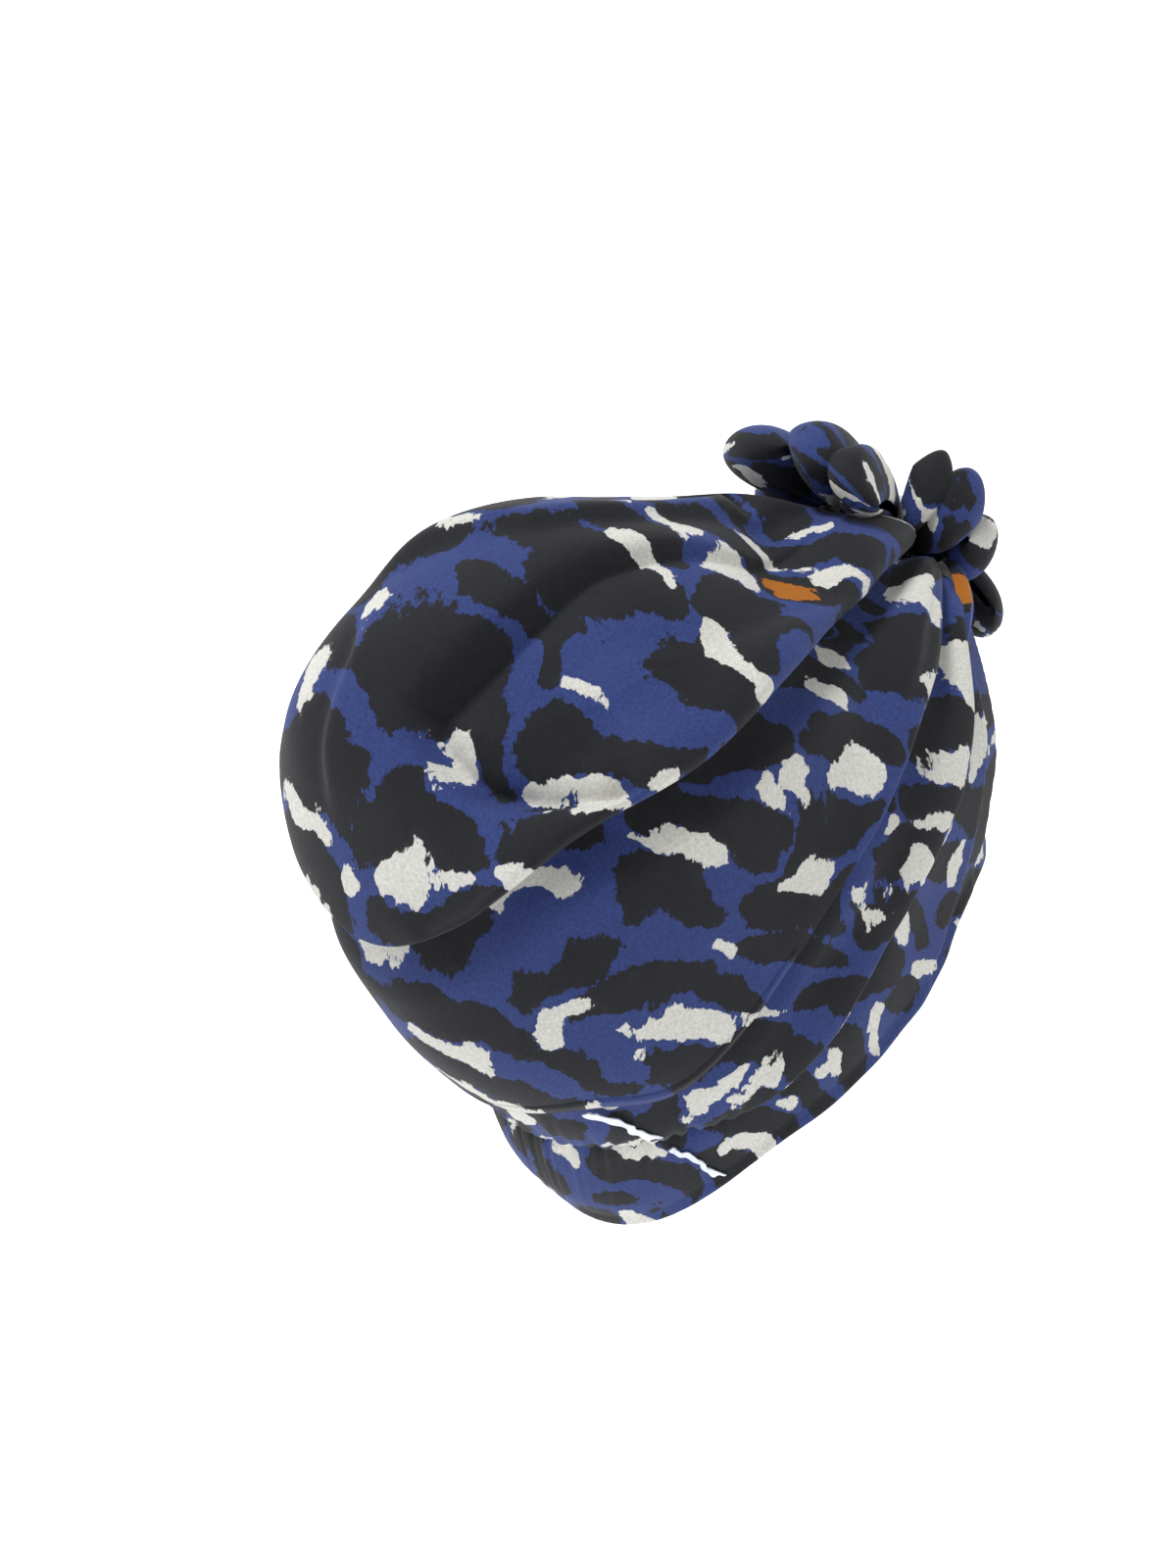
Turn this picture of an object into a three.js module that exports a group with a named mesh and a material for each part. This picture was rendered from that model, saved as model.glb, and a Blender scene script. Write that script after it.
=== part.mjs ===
// Turban headwrap: a ready-tied cap of light crepe, worn with a rosette at the top of the forehead.
// Millimetres, +Z up, the forehead faces -Y and the wearer's right is -X.
// The origin is the middle of the head at brow height, where a head fills the cap.
import * as THREE from 'three';

// ---- driving dimensions ------------------------------------------------------------------------
const CENTRE = new THREE.Vector3(0, 12, 20);   // the middle of the hollow, where every reach starts
const CLOTH = 1.4;                             // wall of the doubled, pleated cloth
const LAP = 3.0;                               // degrees that a folded edge runs over its neighbour
const LAP_FULL = 40;                           // how far round from the knot the laps are full
const LAP_RISE = 2.8;                          // how high a folded edge stands on the panel under it
const OVAL_POWER = 2.25;                       // 2 is an ellipse, more is a squarer oval
const FRONT_BACK_BLEND = 0.35;                 // softness between the front and back halves
const STATIONS = 72;                           // steps round the head
const KNOT_TURN = 6;                           // the knot sits a little to the wearer's right
const KNOT_LIFT = 53;
const KNOT_AXIS = new THREE.Vector3(0, -0.5, 0.866).normalize();
const TAPE_SPREAD = 2.9;                       // degrees round the head that a selvedge is wide
const TAPE_THICKNESS = 1;
const TAPE_GAP = 0.7;                          // how far a selvedge stands off the cloth under it
const TAPE_STEPS = 6;

// The cap's outer form: how far it reaches from CENTRE at each lift above the level.
// half is the reach to the side, front the reach to the forehead, back the reach to the pouch.
const FORM_STEP = 15;
const FORM_START = -75;
const FORM = [
  { lift: -75, half: 104, front: 105, back: 120 },
  { lift: -60, half: 104, front: 108, back: 116 },
  { lift: -45, half: 98, front: 111, back: 102 },
  { lift: -30, half: 89, front: 114, back: 107 },
  { lift: -15, half: 82, front: 116, back: 117 },
  { lift: 0, half: 78, front: 118, back: 127 },
  { lift: 15, half: 82, front: 121, back: 131 },
  { lift: 30, half: 90, front: 123, back: 135 },
  { lift: 45, half: 97, front: 121, back: 134 },
  { lift: 60, half: 103, front: 117, back: 130 },
  { lift: 75, half: 110, front: 116, back: 123 },
  { lift: 90, half: 116, front: 116, back: 116 },
];

// Soft swells and dents on that form: turn runs from the forehead round the wearer's right side.
const SWELLS = [
  { name: 'pouch_corner_high', turn: -168, lift: 50, spread: 13, rise: 15 },
  { name: 'pouch_corner_low', turn: -161, lift: 23, spread: 11, rise: 18 },
  { name: 'knot_peak', turn: 6, lift: 52, spread: 15, rise: 11 },
  { name: 'knot_ridge', turn: 0, lift: 66, spread: 20, rise: 7 },
  { name: 'nape_tuck_right', turn: 132, lift: -34, spread: 15, rise: -8 },
  { name: 'nape_tuck_left', turn: -132, lift: -34, spread: 15, rise: -8 },
  { name: 'twist_pocket', turn: 163, lift: 33, spread: 8, rise: -11 },
  { name: 'pinch', turn: 166, lift: 3, spread: 8, rise: -5 },
];

// Where each panel's folded edge lies, as the lift at each step of the way round from the knot
// (way 0) to the middle of the back (way 180). Both sides of the head share the table.
const WAY_STEP = 15;
const EDGES = [
  { way: 0, hem: 6, brow: 47, pleat: 50, wrap: 54 },
  { way: 15, hem: 6, brow: 49, pleat: 53, wrap: 58 },
  { way: 30, hem: 4, brow: 49, pleat: 54, wrap: 60 },
  { way: 45, hem: 0, brow: 46, pleat: 53, wrap: 62 },
  { way: 60, hem: -12, brow: 33, pleat: 48, wrap: 63 },
  { way: 75, hem: -22, brow: 17, pleat: 42, wrap: 62 },
  { way: 90, hem: -31, brow: -2, pleat: 31, wrap: 60 },
  { way: 105, hem: -39, brow: -19, pleat: 15, wrap: 55 },
  { way: 120, hem: -52, brow: -32, pleat: -6, wrap: 46 },
  { way: 135, hem: -60, brow: -38, pleat: -22, wrap: 33 },
  { way: 150, hem: -64, brow: -41, pleat: -23, wrap: 22 },
  { way: 165, hem: -65, brow: -44, pleat: -27, wrap: 8 },
  { way: 180, hem: -66, brow: -46, pleat: -31, wrap: 2 },
];

// The four shells of the cap, each from one folded edge to the next, and how many rows of facets.
const PANELS = [
  { name: 'brow_band', from: 'hem', to: 'brow', rows: 3, colour: 0x2a3e87 },
  { name: 'pleat_band', from: 'brow', to: 'pleat', rows: 4, colour: 0x24272d },
  { name: 'side_wrap', from: 'pleat', to: 'wrap', rows: 5, colour: 0x2a3e87 },
];
const CROWN_ROWS = 10;
const CROWN_RISE = 3.6;                        // the crown stands on the side wrap's upper edge
const OPEN_AT_KNOT = 1;                        // stations left open at the knot by the wrapped panels

// The rosette's loops fan out round the knot's axis, which points up and a little forward. from and
// to are the sweep round that axis, 0 towards the wearer's left and 90 towards the back.
// reach is how far a loop runs out, seat how far its middle stands off the knot, lean how far its
// tip rises or droops, puff how thick it swells.
const LOOPS = [
  { name: 'rosette_left', from: 4, to: 49, reach: 54, seat: 13, lean: -13, puff: 30 },
  { name: 'rosette_back_left', from: 52, to: 90, reach: 67, seat: 14, lean: -19, puff: 33 },
  { name: 'rosette_back', from: 93, to: 134, reach: 60, seat: 16, lean: -20, puff: 36 },
  { name: 'rosette_right', from: 138, to: 173, reach: 35, seat: 17, lean: -6, puff: 44 },
  { name: 'rosette_right_front', from: 176, to: 208, reach: 34, seat: 14, lean: -8, puff: 34 },
  { name: 'rosette_front_right', from: 211, to: 249, reach: 45, seat: 10, lean: -22, puff: 22 },
  { name: 'rosette_front', from: 252, to: 306, reach: 38, seat: 11, lean: -10, puff: 24 },
  { name: 'rosette_front_left', from: 309, to: 361, reach: 46, seat: 11, lean: -16, puff: 26 },
];
const LOOP_ROOT = 12;                          // how near to the knot's axis the loops start
const LOOP_STEPS = 12;
const LOOP_FACETS = 4;
const LOOP_WAVE = 0.07;                        // the middle of a loop reaches this much further
const LOOP_NECK = 0.6;                        // thickness at the root, as a share of the puff
const LOOP_BLUNTNESS = 0.7;                    // under 1 makes the tip rounder

// The knot's wrap: a short band wound round the gathers that the loops and panels run into.
const WRAP_RADIUS = 9.5;
const WRAP_WALL = 8;
const WRAP_HEIGHT = 22;
const WRAP_FLOOR = 3;
const WRAP_BULGE = 1;
const WRAP_STEPS = 24;

// A narrow strap of the knot's cloth lies over the gathers, along the start of the brow fold.
const STRAP = { wayFrom: 16, wayTo: 46, wide: 8, rise: 3, wall: 2, gap: 0.6, steps: 8, facets: 4 };

// The white selvedge that shows at the side of the nape, down each panel in turn.
const TAPES = [
  { name: 'selvedge_casing', panel: 'pleat_band', wayTop: 150, liftTop: -25, wayFoot: 139, liftFoot: -35 },
  { name: 'selvedge_hem', panel: 'brow_band', wayTop: 134, liftTop: -41.5, wayFoot: 121, liftFoot: -49 },
];

// ---- the form ----------------------------------------------------------------------------------
const radians = THREE.MathUtils.degToRad;

// A smooth curve through evenly stepped rows of a table, mirrored past its ends so that it meets the
// other side of the head, or the far side of the top, without a crease.
function rowValue(table, column, start, step, at) {
  const place = THREE.MathUtils.clamp((at - start) / step, 0, table.length - 1);
  const low = Math.min(Math.floor(place), table.length - 2);
  const part = place - low;
  const last = table.length - 1;
  const pick = (index) => table[last - Math.abs(last - Math.abs(index))][column];
  const [before, a, b, after] = [pick(low - 1), pick(low), pick(low + 1), pick(low + 2)];
  const slopeA = (b - before) / 2;
  const slopeB = (after - a) / 2;
  const square = part * part;
  const cube = square * part;
  return (2 * cube - 3 * square + 1) * a + (cube - 2 * square + part) * slopeA
    + (3 * square - 2 * cube) * b + (cube - square) * slopeB;
}

function direction(turn, lift) {
  const level = Math.cos(radians(lift));
  return new THREE.Vector3(
    -Math.sin(radians(turn)) * level, -Math.cos(radians(turn)) * level, Math.sin(radians(lift)));
}

function formReach(turn, lift) {
  const reach = (column) => rowValue(FORM, column, FORM_START, FORM_STEP, lift);
  const across = Math.abs(Math.sin(radians(turn)));
  const along = -Math.cos(radians(turn));
  const backShare = 0.5 + 0.5 * Math.tanh(along / FRONT_BACK_BLEND);
  const lengthwise = THREE.MathUtils.lerp(reach('front'), reach('back'), backShare);
  const oval = (across / reach('half')) ** OVAL_POWER + (Math.abs(along) / lengthwise) ** OVAL_POWER;
  let total = oval ** (-1 / OVAL_POWER);
  const here = direction(turn, lift);
  for (const swell of SWELLS) {
    const apart = 2 - 2 * here.dot(direction(swell.turn, swell.lift));
    total += swell.rise * Math.exp(-apart / (2 * radians(swell.spread) ** 2));
  }
  return total;
}

function formPoint(turn, lift, outward) {
  return direction(turn, lift).multiplyScalar(formReach(turn, lift) + outward).add(CENTRE);
}

// side is 1 on the wearer's right and -1 on the left; both meet at the knot and at the back.
const turnAt = (way, side) => KNOT_TURN + side * way * (180 - side * KNOT_TURN) / 180;
const edgeLift = (edge, way) => rowValue(EDGES, edge, 0, WAY_STEP, way);
const halfLap = (way) => LAP / 2 * THREE.MathUtils.smoothstep(way, 0, LAP_FULL);

// ---- meshes ------------------------------------------------------------------------------------
function clothMaterial(colour) {
  return new THREE.MeshStandardMaterial({ color: colour, roughness: 0.8, metalness: 0 });
}

function meshOf(name, vertices, faces, colour) {
  const geometry = new THREE.BufferGeometry();
  const positions = vertices.flatMap((vertex) => vertex.toArray());
  geometry.setAttribute('position', new THREE.Float32BufferAttribute(positions, 3));
  geometry.setIndex(faces.flat());
  geometry.computeVertexNormals();
  const mesh = new THREE.Mesh(geometry, clothMaterial(colour));
  mesh.name = name;
  return mesh;
}

// A wall between two grids of points, outer and inner, closed along its open borders.
// point(column, row, layer) gives the place, layer 1 outside and 0 inside.
function wall(name, columns, rows, point, colour, { ring = false, pole = false } = {}) {
  const vertices = [];
  const faces = [];
  const columnCount = ring ? columns : columns + 1;
  const rowCount = pole ? rows : rows + 1;
  const layerSize = columnCount * rowCount + (pole ? 1 : 0);
  for (const layer of [1, 0]) {
    for (let row = 0; row < rowCount; row += 1) {
      for (let column = 0; column < columnCount; column += 1) {
        vertices.push(point(column / columns, row / rows, layer));
      }
    }
    if (pole) vertices.push(point(0, 1, layer));
  }
  const at = (column, row, layer) => (
    (layer ? 0 : layerSize) + (pole && row === rows ? columnCount * rowCount
      : row * columnCount + (column % columnCount)));
  const quad = (a, b, c, d) => {
    if (a !== b && b !== c) faces.push([a, c, b]);
    if (a !== d && c !== d) faces.push([a, d, c]);
  };
  for (let column = 0; column < columns; column += 1) {
    for (let row = 0; row < rows; row += 1) {
      quad(at(column, row, 1), at(column + 1, row, 1), at(column + 1, row + 1, 1), at(column, row + 1, 1));
      quad(at(column, row, 0), at(column, row + 1, 0), at(column + 1, row + 1, 0), at(column + 1, row, 0));
    }
    quad(at(column, 0, 0), at(column + 1, 0, 0), at(column + 1, 0, 1), at(column, 0, 1));
    if (!pole) {
      quad(at(column, rows, 1), at(column + 1, rows, 1), at(column + 1, rows, 0), at(column, rows, 0));
    }
  }
  if (!ring) {
    for (let row = 0; row < rows; row += 1) {
      quad(at(0, row, 1), at(0, row + 1, 1), at(0, row + 1, 0), at(0, row, 0));
      quad(at(columns, row, 0), at(columns, row + 1, 0), at(columns, row + 1, 1), at(columns, row, 1));
    }
  }
  return meshOf(name, vertices, faces, colour);
}

// Round the head from the knot: the first half of the steps goes by the right side to the middle of
// the back, the second half comes forward again by the left side.
function wayOf(fraction) {
  return fraction <= 0.5 ? { way: fraction * 360, side: 1 } : { way: (1 - fraction) * 360, side: -1 };
}

// A panel's front edge stands LAP_RISE on its neighbour and its rear edge slips under the next.
function panel({ name, from, to, rows, colour }) {
  const closed = from === 'hem';
  const open = closed ? 0 : OPEN_AT_KNOT;
  const point = (around, across, layer) => {
    const { way, side } = wayOf((open + around * (STATIONS - 2 * open)) / STATIONS);
    const low = edgeLift(from, way) - (closed ? 0 : halfLap(way));
    const high = edgeLift(to, way) + halfLap(way);
    const standing = closed ? 0 : LAP_RISE * (1 - THREE.MathUtils.smoothstep(across, 0, 1));
    const lift = THREE.MathUtils.lerp(low, high, across);
    return formPoint(turnAt(way, side), lift, standing + (layer - 1) * CLOTH);
  };
  return wall(name, STATIONS - 2 * open, rows, point, colour, { ring: closed });
}

function crown() {
  const point = (around, across, layer) => {
    const { way, side } = wayOf(around);
    const low = edgeLift('wrap', way) - halfLap(way);
    const lift = THREE.MathUtils.lerp(low, 90, across);
    return formPoint(turnAt(way, side), lift, CROWN_RISE + (layer - 1) * CLOTH);
  };
  return wall('crown', STATIONS, CROWN_ROWS, point, 0x24272d, { ring: true, pole: true });
}

// ---- the rosette -------------------------------------------------------------------------------
const KNOT_SEAT = formPoint(KNOT_TURN, KNOT_LIFT, CROWN_RISE);
const FAN_LEFT = new THREE.Vector3(1, 0, 0);
const FAN_UP = new THREE.Vector3().crossVectors(KNOT_AXIS, FAN_LEFT).normalize();

function knotPoint(sweep, out, height) {
  return KNOT_SEAT.clone()
    .addScaledVector(FAN_LEFT, Math.cos(radians(sweep)) * out)
    .addScaledVector(FAN_UP, Math.sin(radians(sweep)) * out)
    .addScaledVector(KNOT_AXIS, height);
}

// One loop of the bow: the cloth runs out from the knot, turns over at its tip and comes back.
function rosetteLoop({ name, from, to, reach, seat, lean, puff }, index) {
  const point = (along, across, layer) => {
    const inset = (1 - layer) * CLOTH;
    const middle = Math.sin(Math.PI * along);
    const crest = 1 - (2 * across - 1) ** 2;
    const wave = 1 + LOOP_WAVE * (crest * 2 - 1);
    const out = LOOP_ROOT + (reach * wave - LOOP_ROOT - inset) * middle ** LOOP_BLUNTNESS;
    const girth = (puff * wave / 2 - inset) * THREE.MathUtils.lerp(LOOP_NECK, 1, middle);
    const height = seat + lean * middle - girth * Math.cos(Math.PI * along);
    return knotPoint(THREE.MathUtils.lerp(from, to, across), out, height);
  };
  return wall(name, LOOP_STEPS, LOOP_FACETS, point, index % 2 ? 0x24272d : 0xd7d5cd);
}

function knotWrap() {
  const outer = WRAP_RADIUS;
  const inner = WRAP_RADIUS - WRAP_WALL;
  const profile = [
    new THREE.Vector2(inner, WRAP_FLOOR), new THREE.Vector2(outer, WRAP_FLOOR),
    new THREE.Vector2(outer + WRAP_BULGE, WRAP_FLOOR + WRAP_HEIGHT / 2),
    new THREE.Vector2(outer, WRAP_FLOOR + WRAP_HEIGHT), new THREE.Vector2(inner, WRAP_FLOOR + WRAP_HEIGHT),
    new THREE.Vector2(inner, WRAP_FLOOR),
  ];
  const geometry = new THREE.LatheGeometry(profile, WRAP_STEPS);
  const mesh = new THREE.Mesh(geometry, clothMaterial(0x24272d));
  mesh.name = 'knot_wrap';
  mesh.position.copy(KNOT_SEAT);
  mesh.quaternion.setFromUnitVectors(new THREE.Vector3(0, 1, 0), KNOT_AXIS);
  return mesh;
}

function knotStrap() {
  const { wayFrom, wayTo, wide, rise, wall: thickness, gap, steps, facets } = STRAP;
  const point = (along, across, layer) => {
    const way = THREE.MathUtils.lerp(wayFrom, wayTo, along);
    const spread = THREE.MathUtils.radToDeg(wide / formReach(turnAt(way, 1), KNOT_LIFT));
    const arch = 1 - (2 * across - 1) ** 2;
    const lift = edgeLift('brow', way) + spread * (across - 0.5);
    return formPoint(turnAt(way, 1), lift, LAP_RISE + gap + arch * rise + layer * thickness);
  };
  return wall('knot_strap', steps, facets, point, 0xd7d5cd);
}

function tape({ name, panel: under, wayTop, liftTop, wayFoot, liftFoot }) {
  const { from, to } = PANELS.find((row) => row.name === under);
  const point = (along, across, layer) => {
    const way = THREE.MathUtils.lerp(wayTop, wayFoot, along);
    const lift = THREE.MathUtils.lerp(liftTop, liftFoot, along);
    const low = edgeLift(from, way);
    const share = (lift - low) / (edgeLift(to, way) - low);
    const standing = from === 'hem' ? 0 : LAP_RISE * (1 - THREE.MathUtils.smoothstep(share, 0, 1));
    const turn = turnAt(way + TAPE_SPREAD * (across - 0.5), 1);
    return formPoint(turn, lift, standing + TAPE_GAP + layer * TAPE_THICKNESS);
  };
  return wall(name, TAPE_STEPS, 2, point, 0xeef2f8);
}

// ---- the whole cap -----------------------------------------------------------------------------
const cap = new THREE.Group();
for (const row of PANELS) cap.add(panel(row));
cap.add(crown());
for (const row of TAPES) cap.add(tape(row));
LOOPS.forEach((row, index) => cap.add(rosetteLoop(row, index)));
cap.add(knotWrap());
cap.add(knotStrap());

export default cap;
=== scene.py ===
"""A ready-tied turban of printed crepe: a close cap of folded bands with a pouch at the back, and a
rosette knotted at the top of the forehead. Lengths are worked out in millimetres, and a piece is
scaled to metres as its mesh is finished. turn goes round the head from the forehead by the wearer's
right, and lift is the angle above the level, both in degrees and seen from CENTRE.
"""

import math

import bmesh
import bpy
import numpy as np
from mathutils import Matrix, Vector


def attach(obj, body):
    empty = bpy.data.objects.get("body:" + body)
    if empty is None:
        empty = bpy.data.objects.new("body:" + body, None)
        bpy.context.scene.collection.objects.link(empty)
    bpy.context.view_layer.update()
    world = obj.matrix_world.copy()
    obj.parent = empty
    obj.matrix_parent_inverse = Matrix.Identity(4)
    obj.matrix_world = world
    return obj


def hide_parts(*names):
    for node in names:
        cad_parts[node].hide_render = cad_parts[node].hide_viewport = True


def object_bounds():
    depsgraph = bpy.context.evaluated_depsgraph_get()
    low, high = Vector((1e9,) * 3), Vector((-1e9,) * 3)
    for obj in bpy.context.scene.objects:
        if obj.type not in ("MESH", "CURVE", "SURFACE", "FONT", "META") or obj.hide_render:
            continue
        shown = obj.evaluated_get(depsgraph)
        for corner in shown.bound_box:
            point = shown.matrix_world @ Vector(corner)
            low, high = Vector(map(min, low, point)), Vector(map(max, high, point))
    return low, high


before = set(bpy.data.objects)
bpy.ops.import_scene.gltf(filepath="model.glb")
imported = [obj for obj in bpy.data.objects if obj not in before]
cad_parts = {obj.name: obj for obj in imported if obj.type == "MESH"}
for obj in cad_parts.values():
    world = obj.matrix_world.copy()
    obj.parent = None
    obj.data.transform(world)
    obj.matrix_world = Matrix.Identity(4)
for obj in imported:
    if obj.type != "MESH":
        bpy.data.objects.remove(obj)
cad_box = [list(corner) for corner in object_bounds()]

MM = 0.001


# ---- tables ------------------------------------------------------------------------------------
def table(columns, *rows):
    """Named columns of a short table."""
    return {name: np.array(values, float) for name, values in zip(columns.split(), zip(*rows))}


CENTRE = np.array([0.0, 12.0, 20.0])
OVAL_POWER = 2.25
FRONT_BACK_BLEND = 0.35
KNOT_TURN, KNOT_LIFT = 6.0, 53.0
KNOT_DIMPLE, KNOT_DIMPLE_REACH = 4.8, 22.0      # how far the knot draws the cap in around itself
KNOT_AXIS = np.array([0.0, -0.5, 0.866])
HEAD_ROUND = 570.0              # cloth used by one turn round the head
HEAD_REACH = 116.0
CLOTH_WALL = 0.6

# How far the cap reaches from CENTRE: to the side, to the forehead and to the pouch.
FORM_START, FORM_STEP = -75.0, 15.0
FORM = table(
    "lift half front back",
    (-75, 104, 105, 120), (-60, 104, 108, 116), (-45, 98, 111, 102), (-30, 89, 114, 107),
    (-15, 82, 116, 117), (0, 78, 118, 127), (15, 82, 121, 131), (30, 90, 123, 135),
    (45, 97, 121, 134), (60, 103, 117, 130), (75, 110, 116, 123), (90, 116, 116, 116))

# Swells and dents on that form.
SWELLS = table(
    "turn lift spread rise",
    (-168, 50, 13, 15),         # upper corner of the pouch
    (-161, 23, 11, 18),         # lower corner of the pouch
    (6, 52, 15, 11),            # the gathers heaped under the knot
    (0, 66, 20, 7),
    (132, -34, 15, -8),         # tucks at the sides of the nape
    (-132, -34, 15, -8),
    (163, 33, 8, -11),          # the pocket where the crown is twisted in
    (166, 3, 8, -5))            # the pinch under it

# Lifts of the folded edges at each step of the way from the knot to the middle of the back, and how
# high each folded edge stands.
WAY_STEP = 15.0
EDGES = table(
    "way hem brow pleat wrap brow_rise pleat_rise wrap_rise",
    (0, 6, 47, 50, 54, 1.6, 1.8, 2.5), (15, 6, 49, 53, 58, 3.0, 3.2, 5.0),
    (30, 4, 49, 54, 60, 5.0, 5.4, 8.0), (45, 0, 46, 53, 62, 5.8, 6.4, 9.6),
    (60, -12, 33, 48, 63, 5.8, 7.0, 10.0), (75, -22, 17, 42, 62, 5.4, 6.4, 9.6),
    (90, -31, -2, 31, 60, 5.0, 4.6, 9.0), (105, -39, -19, 15, 55, 4.4, 1.8, 8.0),
    (120, -52, -32, -6, 46, 3.6, 0.9, 7.2), (135, -60, -38, -22, 33, 2.4, 0.9, 6.4),
    (150, -64, -41, -23, 22, 1.8, 0.9, 5.6), (165, -65, -44, -27, 8, 1.8, 0.9, 3.6),
    (180, -66, -46, -31, 2, 1.8, 0.9, 1.2))

# Creases: a line of turns and lifts with the cloth standing on its left and sinking on its right.
# lip is how abruptly it turns over, ease how far the cloth takes to settle on either side, fade how
# much of each end dies away, and dip how far the cloth dives in along the line.
CREASE_DIP_REACH = 5.5
CREASES = {
    "crown": [
        dict(line=[(143, 28.5), (150, 26), (158, 24), (166, 23.5), (171, 25), (175, 27.5), (176.5, 31),
                   (175, 35), (172, 40), (167, 47), (162, 55), (150, 64), (120, 71), (78, 75), (30, 66)],
             height=6.0, lip=1.0, ease=12, fade=(0.04, 0.72), dip=5.5),
        dict(line=[(-163, 38), (-168, 46), (-174, 51), (177, 56), (165, 66), (100, 82), (20, 70)],
             height=3.4, lip=2.5, ease=11, fade=(0.15, 0.3)),
        dict(line=[(-176, 14), (-174, 23), (-173, 33), (-170, 40)],
             height=-2.6, lip=2.0, ease=9, fade=(0.35, 0.3)),
        dict(line=[(168, 33), (156, 41), (135, 50), (100, 60), (60, 64)],
             height=-2.4, lip=6, ease=13, fade=(0.3, 0.3)),
        dict(line=[(177, 7), (170, 6), (164, 10), (158, 16)], height=-2.6, lip=2.2, ease=8,
             fade=(0.4, 0.3)),
        dict(line=[(-40, 64), (-90, 70), (-140, 66), (-160, 56)],
             height=2.4, lip=3.0, ease=12, fade=(0.2, 0.35)),
        dict(line=[(-60, 62), (-110, 58), (-140, 44), (-156, 30)],
             height=2.2, lip=2.6, ease=12, fade=(0.2, 0.35)),
    ],
    "brow_band": [
        dict(line=[(36, 50), (48, 40), (54, 25), (57, 10), (63, -5), (74, -20)],
             height=-2.6, lip=1.1, ease=11, fade=(0.1, 0.4)),
        dict(line=[(28, 49), (38, 36), (43, 20), (46, 6), (50, -2)],
             height=-2.4, lip=1.1, ease=11, fade=(0.1, 0.35)),
        dict(line=[(-24, 50), (-40, 42), (-48, 26), (-52, 10), (-60, -8)],
             height=2.6, lip=1.1, ease=11, fade=(0.1, 0.4)),
        dict(line=[(-14, 49), (-28, 38), (-35, 22), (-40, 6)],
             height=2.4, lip=1.1, ease=11, fade=(0.1, 0.35)),
    ],
    "pleat_band": [],
    "side_wrap": [
        dict(line=[(28, 56), (50, 56), (72, 50), (88, 42)], height=-1.6, lip=2.0, ease=8,
             fade=(0.1, 0.5)),
        dict(line=[(-18, 56), (-42, 56), (-66, 50), (-84, 42)], height=1.6, lip=2.0, ease=8,
             fade=(0.1, 0.5)),
    ],
}


def smooth(value, low=0.0, high=1.0):
    share = np.clip((value - low) / (high - low), 0, 1)
    return share * share * (3 - 2 * share)


def curve(values, start, step, at):
    """A smooth curve through evenly stepped values, mirrored past its ends."""
    last = len(values) - 1
    place = np.clip((at - start) / step, 0, last)
    low = np.minimum(place.astype(int), last - 1)
    part = place - low
    before, a, b, after = (values[last - np.abs(last - np.abs(low + k))] for k in (-1, 0, 1, 2))
    slope_a, slope_b = (b - before) / 2, (after - a) / 2
    return ((2 * part**3 - 3 * part**2 + 1) * a + (part**3 - 2 * part**2 + part) * slope_a
            + (3 * part**2 - 2 * part**3) * b + (part**3 - part**2) * slope_b)


# ---- the form of the cap -----------------------------------------------------------------------
def direction(turn, lift):
    turn, lift = np.radians(turn), np.radians(lift)
    level = np.cos(lift)
    return np.stack([-np.sin(turn) * level, -np.cos(turn) * level, np.sin(lift)], axis=-1)


def form_reach(turn, lift):
    half, front, back = (curve(FORM[c], FORM_START, FORM_STEP, lift) for c in ("half", "front", "back"))
    across, along = np.abs(np.sin(np.radians(turn))), -np.cos(np.radians(turn))
    back_share = 0.5 + 0.5 * np.tanh(along / FRONT_BACK_BLEND)
    lengthwise = front + (back - front) * back_share
    reach = ((across / half) ** OVAL_POWER + (np.abs(along) / lengthwise) ** OVAL_POWER) ** (-1 / OVAL_POWER)
    here = direction(turn, lift)
    for swell_turn, swell_lift, spread, rise in zip(*SWELLS.values()):
        apart = 2 - 2 * here @ direction(swell_turn, swell_lift)
        reach = reach + rise * np.exp(-apart / (2 * math.radians(spread) ** 2))
    return reach


def form_point(turn, lift, outward):
    return CENTRE + direction(turn, lift) * (form_reach(turn, lift) + outward)[..., None]


def edge(name, way):
    return curve(EDGES[name], 0.0, WAY_STEP, way)


def turn_at(way, side):
    return KNOT_TURN + side * way * (180 - side * KNOT_TURN) / 180


def crease_height(here, line, height, lip, ease, fade, dip=0):
    """The rise or dip of the cloth near one crease, for places given as directions."""
    corners = direction(*np.array(line, float).T)
    steps = np.linspace(0, len(line) - 1, (len(line) - 1) * 4 + 1)
    path = np.stack([np.interp(steps, range(len(line)), corners[:, axis]) for axis in range(3)], -1)
    path *= HEAD_REACH / np.linalg.norm(path, axis=1)[:, None]
    lengths = np.linalg.norm(np.diff(path, axis=0), axis=1)
    starts = np.concatenate([[0], np.cumsum(lengths)])
    spots = here * HEAD_REACH
    nearest = np.full(len(spots), 1e9)
    side, along = np.zeros(len(spots)), np.zeros(len(spots))
    for index, length in enumerate(lengths):
        run = (path[index + 1] - path[index]) / length
        gap = spots - path[index]
        reach = np.clip(gap @ run, 0, length)
        distance = np.linalg.norm(gap - reach[:, None] * run, axis=1)
        closer = distance < nearest
        nearest = np.where(closer, distance, nearest)
        side = np.where(closer, np.sign(np.einsum("ij,ij->i", np.cross(run, gap), spots)), side)
        along = np.where(closer, (starts[index] + reach) / starts[-1], along)
    ends = smooth(along, 0, fade[0]) * smooth(1 - along, 0, fade[1])
    step = height * np.tanh(side * nearest / lip) * np.exp(-nearest / ease)
    return ends * (step - dip * np.exp(-nearest / CREASE_DIP_REACH))


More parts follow.
